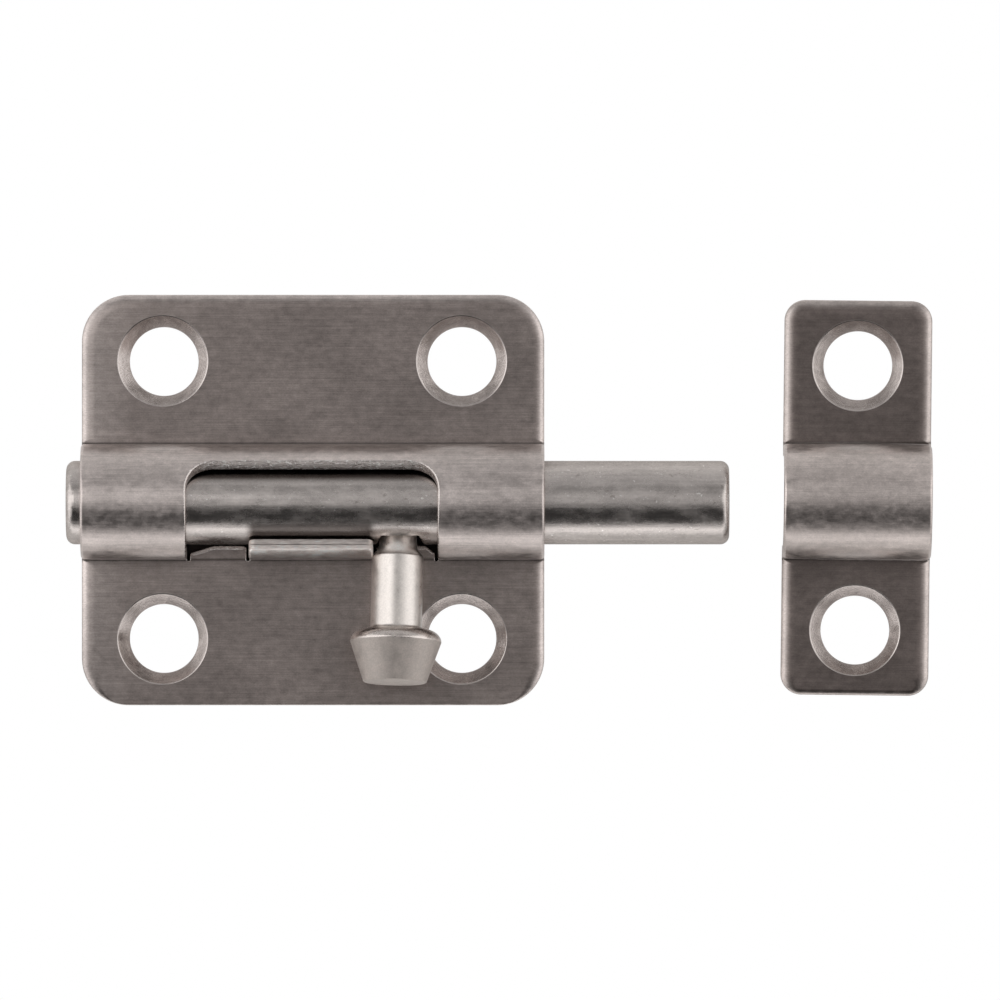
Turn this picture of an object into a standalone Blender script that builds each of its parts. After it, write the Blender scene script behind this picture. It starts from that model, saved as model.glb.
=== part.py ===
"""Barrel bolt with a turn-down knob, and its keeper, lying on their backs. Metres, +Z up.

The bolt throws towards +X. Back faces lie on Z = 0, and the origin is under the middle of the whole set.
Both sheet pieces are made as a press would make them: a flat blank with its cut-outs, bent over a former.
"""

import math
from collections import namedtuple

import bmesh
import bpy
from mathutils import Vector

MM = 0.001

# Sheet metal, shared by the base plate and the keeper.
SHEET = 1.2 * MM
FOOT_RADIUS = 0.2 * MM  # front radius of the crease where an arch meets its flats
ROD_FLOOR_GAP = 0.2 * MM  # between the rod and the surface that the plate is screwed to

# Screw holes, for a countersunk wood screw of 4 mm.
HOLE_RADIUS = 3.3 * MM
COUNTERSINK_RADIUS = 4.3 * MM

# Sliding rod.
ROD_RADIUS = 4.0 * MM
ROD_TAIL = 1.4 * MM  # sticks out behind the base plate
ROD_NOSE = 17.7 * MM  # thrown past the front of the base plate
ROD_END_ROUNDING = 0.85 * MM

# Base plate.
BASE_LENGTH = 44.4 * MM
BASE_HEIGHT = 39.4 * MM
BASE_CORNER = 4.5 * MM
BASE_ROUNDING = 0.8 * MM  # rolled front edge of the flats
ARCH_ROUNDING = 0.3 * MM  # cut edge of an arch
BASE_HOLE_PITCH_X = 28.6 * MM
BASE_HOLE_PITCH_Y = 26.6 * MM
TUNNEL_PLAY = 0.3 * MM  # all round the rod

# Window in the tunnel, with a notch for the knob at each end and a tab between them.
LEFT_COLLAR = 10.1 * MM
RIGHT_COLLAR = 10.2 * MM
LEFT_NOTCH_SLACK = 1.12 * MM  # wider than the knob's stem
RIGHT_NOTCH_SLACK = 1.32 * MM
WINDOW_TOP_ANGLE = math.radians(45)  # from the front line of the tunnel, upwards
TAB_TOP_ANGLE = math.radians(56)  # from the front line of the tunnel, downwards
WINDOW_CORNER = 2.8 * MM
TAB_CORNER = 0.4 * MM
LIP_GAP = 0.4 * MM  # between the flat lip in a notch and the side of the rod
LIP_CORNER = 1.0 * MM
RELIEF = 0.3 * MM  # slot that frees a lip from the bent wall beside it

# Knob. Each of its places is measured outwards from the rod's surface.
STEM_RADIUS = 2.44 * MM
STEM_START = 1.35 * MM
NECK_RADIUS = 1.5 * MM
NECK_GAP = 0.3 * MM  # between the neck and the rod that it turns about
HEAD_START = 8.05 * MM
HEAD_FILLET = 0.3 * MM
RIM_RADIUS = 4.3 * MM
RIM_START = 9.4 * MM
KNOB_END = 13.5 * MM
TIP_RADIUS = 3.1 * MM
TIP_ROUNDING = 0.3 * MM
STEM_PLAY = 0.15 * MM  # between the stem and the side of its notch
REST_GAP = 0.3 * MM  # between the head and the plate that it rests on

# Keeper.
KEEPER_SPACING = 23.1 * MM  # from the base plate, along the throw
KEEPER_WIDTH = 14.2 * MM
KEEPER_HEIGHT = 37.9 * MM
KEEPER_CORNER = 2.0 * MM
KEEPER_ROUNDING = 0.4 * MM
KEEPER_RAISE = 0.45 * MM  # its arch is pressed a little below its middle
KEEPER_HOLE_PITCH = 25.4 * MM
KEEPER_PLAY = 0.6 * MM  # round the rod

# How finely curves are divided.
ARCH_STRIPS = 24
FOOT_STRIPS = 3
CORNER_STEPS = 8
SMALL_CORNER_STEPS = 4
ROUNDING_STEPS = 3
HOLE_SIDES = 40
TURNED_SIDES = 56
PROFILE_STEPS = 6
SHARP_ANGLE = math.radians(35)
SAME_POINT = 0.001 * MM

# Where things are.
AXIS_Z = ROD_RADIUS + ROD_FLOOR_GAP
SET_LENGTH = ROD_TAIL + BASE_LENGTH + KEEPER_SPACING + KEEPER_WIDTH
BASE_LEFT = ROD_TAIL - SET_LENGTH / 2
BASE_RIGHT = BASE_LEFT + BASE_LENGTH
KEEPER_LEFT = BASE_RIGHT + KEEPER_SPACING
WINDOW_LEFT = BASE_LEFT + LEFT_COLLAR
WINDOW_RIGHT = BASE_RIGHT - RIGHT_COLLAR
TAB_LEFT = WINDOW_LEFT + 2 * STEM_RADIUS + LEFT_NOTCH_SLACK
TAB_RIGHT = WINDOW_RIGHT - 2 * STEM_RADIUS - RIGHT_NOTCH_SLACK
KNOB_X = TAB_RIGHT + STEM_PLAY + STEM_RADIUS

# The line across a formed sheet: arch, straight walls, tight creases, then the flats.
Section = namedtuple("Section", "inner_radius wall arch_end wall_end foot_end flat_start")
Edge = namedtuple("Edge", "x across out_x out_across")


def section_for(play):
    """An arch that goes over the rod with this play. Its lengths run along the middle of the sheet."""
    inner_radius = ROD_RADIUS + play
    wall = AXIS_Z - SHEET - FOOT_RADIUS
    arch_end = (inner_radius + SHEET / 2) * math.pi / 2
    wall_end = arch_end + wall
    foot_end = wall_end + (FOOT_RADIUS + SHEET / 2) * math.pi / 2
    return Section(
        inner_radius, wall, arch_end, wall_end, foot_end, inner_radius + SHEET + FOOT_RADIUS
    )


def across_at(section, y):
    """Where a point on a flat, at this Y, lies across the blank."""
    return math.copysign(section.foot_end + abs(y) - section.flat_start, y)


def across_at_angle(section, angle):
    return (section.inner_radius + SHEET / 2) * angle


def formed(section, across, depth):
    """(Y, Z) in the bent sheet of a point of the blank. Depth runs from the back face to the front."""
    side = math.copysign(1.0, across)
    along = abs(across)
    if along <= section.arch_end:
        radius = section.inner_radius + depth
        angle = along / (section.inner_radius + SHEET / 2)
        return side * radius * math.sin(angle), AXIS_Z + radius * math.cos(angle)
    if along <= section.wall_end:
        return side * (section.inner_radius + depth), AXIS_Z + section.arch_end - along
    if along <= section.foot_end:
        radius = FOOT_RADIUS + SHEET - depth
        angle = (along - section.wall_end) / (FOOT_RADIUS + SHEET / 2)
        y = section.flat_start - radius * math.cos(angle)
        return side * y, SHEET + FOOT_RADIUS - radius * math.sin(angle)
    return side * (section.flat_start + along - section.foot_end), depth


def bend_lines(section):
    """Where the blank is divided so that it bends smoothly."""
    arch = [section.arch_end * step / (ARCH_STRIPS / 2) for step in range(ARCH_STRIPS // 2 + 1)]
    foot_width = section.foot_end - section.wall_end
    foot = [section.wall_end + foot_width * step / FOOT_STRIPS for step in range(FOOT_STRIPS + 1)]
    return sorted({side * line for side in (-1.0, 1.0) for line in arch + foot})


def rounded_loop(corners):
    """An anticlockwise outline from (x, across, radius, steps) corners, with the way out at each point."""
    loop = []
    for index, (x, across, radius, steps) in enumerate(corners):
        here = Vector((x, across))
        before = (here - Vector(corners[index - 1][:2])).normalized()
        after = (Vector(corners[(index + 1) % len(corners)][:2]) - here).normalized()
        out_before = Vector((before.y, -before.x))
        out_after = Vector((after.y, -after.x))
        turn = math.copysign(1.0, before.cross(after))
        if radius == 0:
            loop.append(Edge(x, across, *out_before.lerp(out_after, 0.5).normalized()))
            continue
        centre = here - turn * radius * (out_before + out_after) / (1 + out_before.dot(out_after))
        start = math.atan2(out_before.y, out_before.x)
        sweep = turn * out_before.angle(out_after)
        for step in range(steps + 1):
            angle = start + sweep * step / steps
            way = Vector((math.cos(angle), math.sin(angle)))
            point = centre + turn * radius * way
            meets_last = loop and (point - Vector(loop[-1][:2])).length < SAME_POINT
            if not meets_last:
                loop.append(Edge(point.x, point.y, way.x, way.y))
    return loop


def plate_loop(section, left, right, low, high, corner):
    """Rounded rectangle of a blank, with points where the rolled edge of the flats gives way to the arch."""
    bottom = across_at(section, low)
    top = across_at(section, high)
    ends = (section.foot_end + SHEET, section.foot_end)
    stations = [-ends[0], -ends[1], ends[1], ends[0]]
    corners = [(left, bottom, corner, CORNER_STEPS), (right, bottom, corner, CORNER_STEPS)]
    corners += [(right, across, 0, 0) for across in stations]
    corners += [(right, top, corner, CORNER_STEPS), (left, top, corner, CORNER_STEPS)]
    corners += [(left, across, 0, 0) for across in reversed(stations)]
    return rounded_loop(corners)


def circle_loop(section, x, y):
    centre = across_at(section, y)
    loop = []
    for side in range(HOLE_SIDES):
        angle = math.tau * side / HOLE_SIDES
        way_x, way_y = math.cos(angle), math.sin(angle)
        loop.append(Edge(x + HOLE_RADIUS * way_x, centre + HOLE_RADIUS * way_y, way_x, way_y))
    return loop


def window_loop(section):
    """The window, with a notch at each end. Narrow reliefs free the flat lip at the foot of each notch."""
    foot = -section.foot_end
    lip = foot + section.flat_start - (ROD_RADIUS + LIP_GAP)
    tab = across_at_angle(section, -TAB_TOP_ANGLE)
    top = across_at_angle(section, WINDOW_TOP_ANGLE)
    corners = []
    for left, right in ((WINDOW_LEFT, TAB_LEFT), (TAB_RIGHT, WINDOW_RIGHT)):
        slots = ((left, left + RELIEF), (right - RELIEF, right))
        if corners:
            corners.append((left, tab, TAB_CORNER, SMALL_CORNER_STEPS))
        corners += [(x, foot, RELIEF / 2, SMALL_CORNER_STEPS) for x in slots[0]]
        corners.append((slots[0][1], lip, LIP_CORNER, SMALL_CORNER_STEPS))
        corners.append((slots[1][0], lip, LIP_CORNER, SMALL_CORNER_STEPS))
        corners += [(x, foot, RELIEF / 2, SMALL_CORNER_STEPS) for x in slots[1]]
        if right == TAB_LEFT:
            corners.append((right, tab, TAB_CORNER, SMALL_CORNER_STEPS))
    corners.append((WINDOW_RIGHT, top, WINDOW_CORNER, CORNER_STEPS))
    corners.append((WINDOW_LEFT, top, WINDOW_CORNER, CORNER_STEPS))
    return rounded_loop(corners)


def in_a_lip(section, x, across):
    """Whether a point of the blank belongs to one of the flat lips, which stay unbent."""
    if across > 0 or across < -section.foot_end:
        return False
    notches = ((WINDOW_LEFT, TAB_LEFT), (TAB_RIGHT, WINDOW_RIGHT))
    beside = RELIEF / 2
    past_lip = -section.foot_end + section.flat_start - ROD_RADIUS
    return across < past_lip and any(left + beside < x < right - beside for left, right in notches)


def rolled_edge(section, flat_rounding, arch_rounding):
    """Profile of an outer edge, back to front: how far in and how deep each ring of points lies."""

    def rounding(point):
        past = (abs(point.across) - section.foot_end) / SHEET
        return arch_rounding + (flat_rounding - arch_rounding) * min(max(past, 0.0), 1.0)

    def ring(angle):
        def place(point):
            size = rounding(point)
            return -size * (1 - math.cos(angle)), SHEET - size * (1 - math.sin(angle))

        return place

    quarter = [math.pi / 2 * step / ROUNDING_STEPS for step in range(ROUNDING_STEPS + 1)]
    return [lambda point: (0.0, 0.0)] + [ring(angle) for angle in quarter]


def square_edge():
    return [lambda point: (0.0, 0.0), lambda point: (0.0, SHEET)]


def countersunk_edge():
    land = SHEET - (COUNTERSINK_RADIUS - HOLE_RADIUS)
    flare = COUNTERSINK_RADIUS - HOLE_RADIUS
    return [lambda point: (0.0, 0.0), lambda point: (0.0, land), lambda point: (flare, SHEET)]


def add_rim(bm, loop, profile):
    """Joins the rings of one outline's profile with walls, and returns its back and front edges."""
    rings = []
    for place in profile:
        ring = []
        for point in loop:
            out, depth = place(point)
            x = point.x + out * point.out_x
            across = point.across + out * point.out_across
            ring.append(bm.verts.new((x, across, depth)))
        rings.append(ring)
    for lower, upper in zip(rings, rings[1:]):
        for index in range(len(loop)):
            after = (index + 1) % len(loop)
            bm.faces.new((lower[index], lower[after], upper[after], upper[index]))
    ends = (rings[0], rings[-1])
    return [[bm.edges.get((ring[i - 1], ring[i])) for i in range(len(ring))] for ring in ends]


def formed_sheet(name, section, outlines, material, stays_flat=None):
    """A blank with these outlines, the outer one first, bent to the section except where it stays flat."""
    bm = bmesh.new()
    back_edges, front_edges = [], []
    for loop, profile in outlines:
        back, front = add_rim(bm, loop, profile)
        back_edges += back
        front_edges += front
    for edges in (back_edges, front_edges):
        bmesh.ops.triangle_fill(bm, use_beauty=True, edges=edges, normal=(0, 0, 1))
    for line in bend_lines(section):
        everything = bm.verts[:] + bm.edges[:] + bm.faces[:]
        bmesh.ops.bisect_plane(
            bm, geom=everything, dist=1e-8, plane_co=(0, line, 0), plane_no=(0, 1, 0)
        )
    bmesh.ops.triangulate(bm, faces=bm.faces[:])
    for vert in bm.verts:
        x, across, depth = vert.co
        if stays_flat and stays_flat(section, x, across):
            vert.co.y = across + section.foot_end - section.flat_start
        else:
            vert.co.yz = formed(section, across, depth)
    return finished(name, bm, material)


def finished(name, bm, material):
    """The named object of a closed mesh, facing out and shaded smooth up to its sharp edges."""
    bmesh.ops.recalc_face_normals(bm, faces=bm.faces[:])
    mesh = bpy.data.meshes.new(name)
    bm.to_mesh(mesh)
    bm.free()
    mesh.materials.append(material)
    mesh.shade_smooth()
    mesh.set_sharp_from_angle(angle=SHARP_ANGLE)
    made = bpy.data.objects.new(name, mesh)
    bpy.context.scene.collection.objects.link(made)
    return made


def turned(name, profile, material):
    """A closed piece turned about its own Z, from (height, radius) points that start and end on it."""
    bm = bmesh.new()
    verts = [bm.verts.new((radius, 0, height)) for height, radius in profile]
    edges = [bm.edges.new(pair) for pair in zip(verts, verts[1:])]
    bmesh.ops.spin(
        bm,
        geom=verts + edges,
        cent=(0, 0, 0),
        axis=(0, 0, 1),
        angle=math.tau,
        steps=TURNED_SIDES,
        use_merge=True,
    )
    bmesh.ops.remove_doubles(bm, verts=bm.verts[:], dist=1e-7)
    return finished(name, bm, material)


def arc(centre_height, centre_radius, size_height, size_radius, start, end):
    """Points of a quarter turn of a profile, between two angles in degrees."""
    points = []
    for step in range(PROFILE_STEPS + 1):
        angle = math.radians(start + (end - start) * step / PROFILE_STEPS)
        height = centre_height + size_height * math.sin(angle)
        points.append((height, centre_radius + size_radius * math.cos(angle)))
    return points


def steel(name, colour, roughness):
    material = bpy.data.materials.new(name)
    material.use_nodes = True
    shader = material.node_tree.nodes["Principled BSDF"]
    shader.inputs["Base Color"].default_value = (*colour, 1.0)
    shader.inputs["Metallic"].default_value = 1.0
    shader.inputs["Roughness"].default_value = roughness
    return material


def base_plate():
    section = section_for(TUNNEL_PLAY)
    half_height = BASE_HEIGHT / 2
    outer = plate_loop(section, BASE_LEFT, BASE_RIGHT, -half_height, half_height, BASE_CORNER)
    middle = (BASE_LEFT + BASE_RIGHT) / 2
    outlines = [
        (outer, rolled_edge(section, BASE_ROUNDING, ARCH_ROUNDING)),
        (window_loop(section), square_edge()),
    ]
    for side_x in (-0.5, 0.5):
        for side_y in (-0.5, 0.5):
            hole = circle_loop(
                section, middle + side_x * BASE_HOLE_PITCH_X, side_y * BASE_HOLE_PITCH_Y
            )
            outlines.append((hole, countersunk_edge()))
    satin = steel("satin_stainless_sheet", (0.36, 0.33, 0.31), 0.34)
    return formed_sheet("base_plate", section, outlines, satin, in_a_lip)


def keeper():
    section = section_for(KEEPER_PLAY)
    low = KEEPER_RAISE - KEEPER_HEIGHT / 2
    high = KEEPER_RAISE + KEEPER_HEIGHT / 2
    right = KEEPER_LEFT + KEEPER_WIDTH
    outer = plate_loop(section, KEEPER_LEFT, right, low, high, KEEPER_CORNER)
    outlines = [(outer, rolled_edge(section, KEEPER_ROUNDING, ARCH_ROUNDING))]
    for side in (-0.5, 0.5):
        hole = circle_loop(
            section, KEEPER_LEFT + KEEPER_WIDTH / 2, KEEPER_RAISE + side * KEEPER_HOLE_PITCH
        )
        outlines.append((hole, countersunk_edge()))
    satin = steel("satin_stainless_keeper", (0.30, 0.27, 0.25), 0.34)
    return formed_sheet("keeper", section, outlines, satin)


def bolt_rod():
    """Plain round bar with both ends rounded over."""
    half = (ROD_TAIL + BASE_LENGTH + ROD_NOSE) / 2
    inner = ROD_RADIUS - ROD_END_ROUNDING
    size = ROD_END_ROUNDING
    profile = [(-half, 0.0)]
    profile += arc(size - half, inner, size, size, -90, 0)
    profile += arc(half - size, inner, size, size, 0, 90)
    profile.append((half, 0.0))
    rod = turned("bolt_rod", profile, steel("drawn_stainless_bar", (0.42, 0.40, 0.39), 0.25))
    rod.location = (BASE_LEFT - ROD_TAIL + half, 0, AXIS_Z)
    rod.rotation_euler = (0, math.pi / 2, 0)
    return rod


def rest_lift():
    """How far the knob's axis stands off the plate's plane when its head rests on the plate."""
    rim_start = ROD_RADIUS + RIM_START
    drop = AXIS_Z - SHEET - REST_GAP
    return math.atan2(RIM_RADIUS, rim_start) - math.asin(drop / math.hypot(rim_start, RIM_RADIUS))


def knob():
    """Thin neck, cone, round stem and a head that tapers to a flat tip."""
    neck = ROD_RADIUS + NECK_GAP
    head = ROD_RADIUS + HEAD_START
    rim = ROD_RADIUS + RIM_START
    end = ROD_RADIUS + KNOB_END
    shoulder = STEM_RADIUS + HEAD_FILLET
    profile = [(neck, 0.0), (neck, NECK_RADIUS), (ROD_RADIUS + STEM_START, STEM_RADIUS)]
    profile += arc(head - HEAD_FILLET, shoulder, HEAD_FILLET, HEAD_FILLET, 180, 90)
    profile += arc(rim, shoulder, head - rim, RIM_RADIUS - shoulder, 90, 0)[1:]
    profile += arc(end - TIP_ROUNDING, TIP_RADIUS - TIP_ROUNDING, TIP_ROUNDING, TIP_ROUNDING, 0, 90)
    profile.append((end, 0.0))
    made = turned("knob", profile, steel("turned_stainless_knob", (0.46, 0.43, 0.41), 0.28))
    made.location = (KNOB_X, 0, AXIS_Z)
    made.rotation_euler = (math.pi / 2 - rest_lift(), 0, 0)
    return made


def clear_scene():
    for old in list(bpy.data.objects):
        bpy.data.objects.remove(old, do_unlink=True)


clear_scene()
base_plate()
bolt_rod()
knob()
keeper()
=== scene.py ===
# %% [markdown]
# # A barrel bolt in satin stainless steel
#
# This lesson finishes a small surface bolt: a plate pressed from one piece of sheet, a round rod that slides
# in the plate's tunnel, a turned knob screwed into the rod, and a loose keeper plate. The plain working model
# already says where everything is and how it moves. Here each piece is made again with the fine edges, tool
# marks and finish that a close look needs, and each new piece rides with the old one that it stands for.

import math

import bmesh
import bpy
from mathutils import Matrix, Vector


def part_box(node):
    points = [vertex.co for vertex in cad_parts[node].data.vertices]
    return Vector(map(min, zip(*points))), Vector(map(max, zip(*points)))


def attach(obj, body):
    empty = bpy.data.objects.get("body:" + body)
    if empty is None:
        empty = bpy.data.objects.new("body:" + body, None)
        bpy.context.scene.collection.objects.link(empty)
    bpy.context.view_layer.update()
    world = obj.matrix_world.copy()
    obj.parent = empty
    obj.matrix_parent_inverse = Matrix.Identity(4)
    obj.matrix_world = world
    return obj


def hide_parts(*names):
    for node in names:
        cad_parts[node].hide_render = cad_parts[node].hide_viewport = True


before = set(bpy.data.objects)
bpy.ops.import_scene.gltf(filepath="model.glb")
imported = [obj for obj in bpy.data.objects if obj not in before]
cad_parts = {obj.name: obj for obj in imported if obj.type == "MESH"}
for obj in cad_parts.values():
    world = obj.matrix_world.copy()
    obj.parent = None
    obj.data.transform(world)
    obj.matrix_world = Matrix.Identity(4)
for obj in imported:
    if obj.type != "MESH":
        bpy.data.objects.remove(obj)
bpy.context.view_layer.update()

# %% [markdown]
# ## Where things are
#
# Every position is read from the working model's own boxes, so the fine pieces land on it. Only sizes that a
# box can't tell, such as a sheet's thickness or a hole's width, are given as numbers, in millimetres. The
# window runs from one collar to the other, with a tab between its two notches. A press never centres a tunnel
# perfectly, so it sits a hair towards the knob's side.

# %% Places and shared sizes
MM = 0.001
SHEET = 1.2 * MM
FOOT_RADIUS = 0.2 * MM
HOLE_RADIUS = 3.3 * MM
FLARE = 0.98 * MM

plate_low, plate_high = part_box("base_plate")
keeper_low, keeper_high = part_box("keeper")
rod_low, rod_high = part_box("bolt_rod")
knob_low, knob_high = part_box("knob")

TUNNEL_OFFSET = -0.15 * MM
TUNNEL_PLAY = 0.3 * MM
KEEPER_PLAY = 0.6 * MM
LEFT_COLLAR = 10.1 * MM
RIGHT_COLLAR = 10.2 * MM
LEFT_NOTCH = 6.0 * MM
RIGHT_NOTCH = 6.2 * MM
window_left = plate_low[0] + LEFT_COLLAR
window_right = plate_high[0] - RIGHT_COLLAR
tab_left = window_left + LEFT_NOTCH
tab_right = window_right - RIGHT_NOTCH
AXIS_Z = (rod_low[2] + rod_high[2]) / 2
ROD_RADIUS = (rod_high[2] - rod_low[2]) / 2
KNOB_X = (knob_low[0] + knob_high[0]) / 2
print(f"rod radius {ROD_RADIUS / MM:.2f} mm, its axis {AXIS_Z / MM:.2f} mm up, knob at {KNOB_X / MM:.2f} mm")

# %% [markdown]
# ## The camera
#
# The bolt lies on its back and is looked at from straight above. A long lens far away keeps the picture
# nearly free of perspective, which is how a catalogue shows flat hardware.

# %% Camera
LENS = 600
SENSOR = 36
FIELD = 96.0 * MM

camera_data = bpy.data.cameras.new("catalogue_camera")
camera_data.lens = LENS
camera_data.sensor_width = SENSOR
camera_data.clip_end = 20
camera = bpy.data.objects.new("catalogue_camera", camera_data)
camera.location = (0, 0, SHEET + FIELD * LENS / SENSOR)
bpy.context.scene.collection.objects.link(camera)
bpy.context.scene.camera = camera
bpy.context.scene.view_settings.view_transform = "Standard"
print(f"camera {camera.location.z:.3f} m above the table")

# %% [markdown]
# ## Node helpers
#
# The room and the finishes are networks of small nodes, and a few helpers keep them readable. One adds a node
# and sets its values or links, one makes streaky or even noise, and the others do sums, change a range, mark
# a band, mix colours and raise a bump.

# %% Node helpers
def add_node(tree, kind, inputs=(), **settings):
    node = tree.nodes.new(kind)
    for name, value in settings.items():
        setattr(node, name, value)
    for key, value in dict(inputs).items():
        if hasattr(value, "is_output"):
            tree.links.new(value, node.inputs[key])
        else:
            node.inputs[key].default_value = value
    return node


def noise(tree, stretch, detail=3.0, roughness=0.55):
    """Noise whose grains are about 1/stretch metres long each way."""
    place = add_node(tree, "ShaderNodeTexCoord")
    mapping = add_node(tree, "ShaderNodeMapping", {"Vector": place.outputs["Object"], "Scale": stretch})
    made = add_node(
        tree,
        "ShaderNodeTexNoise",
        {"Vector": mapping.outputs[0], "Scale": 1.0, "Detail": detail, "Roughness": roughness},
    )
    return made.outputs["Fac"]


def ranged(tree, value, low, high, to_low, to_high, **settings):
    inputs = {"Value": value, "From Min": low, "From Max": high, "To Min": to_low, "To Max": to_high}
    return add_node(tree, "ShaderNodeMapRange", inputs, **settings).outputs[0]


def maths(tree, operation, first, second=0.0):
    return add_node(tree, "ShaderNodeMath", {0: first, 1: second}, operation=operation).outputs[0]


def between(tree, value, low, high, soft):
    """1 where the value lies between low and high, fading over a soft margin."""
    after = ranged(tree, value, low - soft, low + soft, 0.0, 1.0, interpolation_type="SMOOTHSTEP")
    before = ranged(tree, value, high - soft, high + soft, 1.0, 0.0, interpolation_type="SMOOTHSTEP")
    return maths(tree, "MULTIPLY", after, before)


def mixed(tree, factor, first, second, blend_type="MIX"):
    """Sockets 0, 6 and 7 of a mix node are its factor and its two colours."""
    inputs = {0: factor, 6: first, 7: second}
    return add_node(tree, "ShaderNodeMix", inputs, data_type="RGBA", blend_type=blend_type).outputs[2]


def varied(tree, colour, pattern, amount):
    """The colour made darker and lighter by a pattern, evenly about its middle."""
    shade = ranged(tree, pattern, 0.25, 0.75, 1 - amount, 1 + amount)
    grey = add_node(tree, "ShaderNodeCombineColor", {0: shade, 1: shade, 2: shade}).outputs[0]
    return mixed(tree, 1.0, colour, grey, "MULTIPLY")


def bumped(tree, height, distance, normal=None):
    inputs = {"Height": height, "Distance": distance, "Strength": 1.0}
    if normal is not None:
        inputs["Normal"] = normal
    return add_node(tree, "ShaderNodeBump", inputs).outputs[0]


print("node helpers ready")

# %% [markdown]
# ## A white table
#
# A catalogue lays small hardware on a pale table and then clears the table to pure white. This one does both:
# the camera sees it pure white, while the steel sees the plain pale surface that it lies on. A glowing table
# would be simpler, but its light would leak through the screw holes and paint bright patches on the arch.
# A black card under the tunnel is painted shadow: it stands in for the table's shade and keeps the narrow
# gaps beside the rod dark.

# %% Table and card
TABLE_SIZE = 6.0
TABLE_GAP = 0.05 * MM
SHADOW_CARD_GAP = 0.02 * MM
SHADOW_CARD_HALF = 6.2 * MM


def flat_sheet(name, low, high, height, material):
    mesh = bpy.data.meshes.new(name)
    corners = [(low[0], low[1]), (high[0], low[1]), (high[0], high[1]), (low[0], high[1])]
    mesh.from_pydata([(x, y, height) for x, y in corners], [], [(0, 1, 2, 3)])
    mesh.materials.append(material)
    made = bpy.data.objects.new(name, mesh)
    bpy.context.scene.collection.objects.link(made)
    return made


def table_material():
    made = bpy.data.materials.new("pale_table")
    made.use_nodes = True
    tree = made.node_tree
    pale = tree.nodes["Principled BSDF"]
    pale.inputs["Base Color"].default_value = (0.8, 0.8, 0.79, 1)
    pale.inputs["Roughness"].default_value = 0.8
    pale.inputs["Emission Color"].default_value = (1, 1, 1, 1)
    pale.inputs["Emission Strength"].default_value = 0.22
    white = add_node(tree, "ShaderNodeEmission", {"Color": (1, 1, 1, 1), "Strength": 1.0})
    path = add_node(tree, "ShaderNodeLightPath")
    chosen = add_node(tree, "ShaderNodeMixShader", {0: path.outputs["Is Camera Ray"]})
    tree.links.new(pale.outputs[0], chosen.inputs[1])
    tree.links.new(white.outputs[0], chosen.inputs[2])
    tree.links.new(chosen.outputs[0], tree.nodes["Material Output"].inputs["Surface"])
    return made


# Painted shadow: the card's near-black colour stands in for the shade on the table under the tunnel.
painted_shadow_card = bpy.data.materials.new("painted_shadow_card")
painted_shadow_card.use_nodes = True
painted_shadow_card.node_tree.nodes["Principled BSDF"].inputs["Base Color"].default_value = (0.03, 0.024, 0.022, 1)
painted_shadow_card.node_tree.nodes["Principled BSDF"].inputs["Roughness"].default_value = 0.9
half_table = TABLE_SIZE / 2
flat_sheet("table", (-half_table, -half_table), (half_table, half_table), -TABLE_GAP, table_material())
shadow_card_low = (plate_low[0] + SHEET, -SHADOW_CARD_HALF)
shadow_card_high = (plate_high[0] - SHEET, SHADOW_CARD_HALF)
flat_sheet("tunnel_painted_shadow_card", shadow_card_low, shadow_card_high, -SHADOW_CARD_GAP, painted_shadow_card)
print(f"table {TABLE_SIZE} m wide, card {(shadow_card_high[0] - shadow_card_low[0]) / MM:.1f} mm long")

# %% [markdown]
# ## The room and its softboxes
#
# Polished metal is a mirror, so its look is mostly the room's. The room here is even and mid grey, and each
# softbox is a soft-edged patch of brightness in a direction, given in degrees from straight up towards +X
# and +Y. They are part of the room's own shading, because lights at a distance would add only noise. A patch
# with a negative brightness is a black flag, which gives round pieces the dark line that models them.

# %% Room
ROOM_GREY = 0.44
PATCH_SOFTNESS = 0.35


def patch(tree, way, toward_x, toward_y, half_x, half_y, brightness):
    """How much light a patch adds along a direction."""
    across, along = math.radians(toward_x), math.radians(toward_y)
    sin_x, cos_x = math.sin(across), math.cos(across)
    sin_y, cos_y = math.sin(along), math.cos(along)
    centre = Vector((sin_x, cos_x * sin_y, cos_x * cos_y))
    side = Vector((cos_x, -sin_x * sin_y, -sin_x * cos_y))
    up = centre.cross(side)
    ahead = add_node(tree, "ShaderNodeVectorMath", {0: way, 1: centre}, operation="DOT_PRODUCT").outputs[1]
    inside = maths(tree, "GREATER_THAN", ahead, 0.0)
    for axis, half in ((side, half_x), (up, half_y)):
        off = add_node(tree, "ShaderNodeVectorMath", {0: way, 1: axis}, operation="DOT_PRODUCT").outputs[1]
        slope = maths(tree, "ABSOLUTE", maths(tree, "DIVIDE", off, ahead))
        edge = math.tan(math.radians(half))
        near, far = edge * (1 - PATCH_SOFTNESS), edge * (1 + PATCH_SOFTNESS)
        within = ranged(tree, slope, near, far, 1.0, 0.0, interpolation_type="SMOOTHSTEP")
        inside = maths(tree, "MULTIPLY", inside, within)
    return maths(tree, "MULTIPLY", inside, brightness)


patches = {
    "front softbox": (0, -94, 44, 23, 1.02),
    "front flag": (0, -36, 60, 25, -0.40),
    "top strip": (0, 16, 50, 8, 0.10),
    "back flag": (0, 42, 50, 10, -0.08),
    "back wall": (0, 78, 60, 28, 0.12),
    "left umbrella": (-30, 14, 15, 16, 0.22),
    "right umbrella": (30, 14, 15, 16, 0.45),
    "left wall": (-74, 0, 38, 34, 0.95),
    "right wall": (80, 0, 38, 34, 0.95),
}

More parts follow.
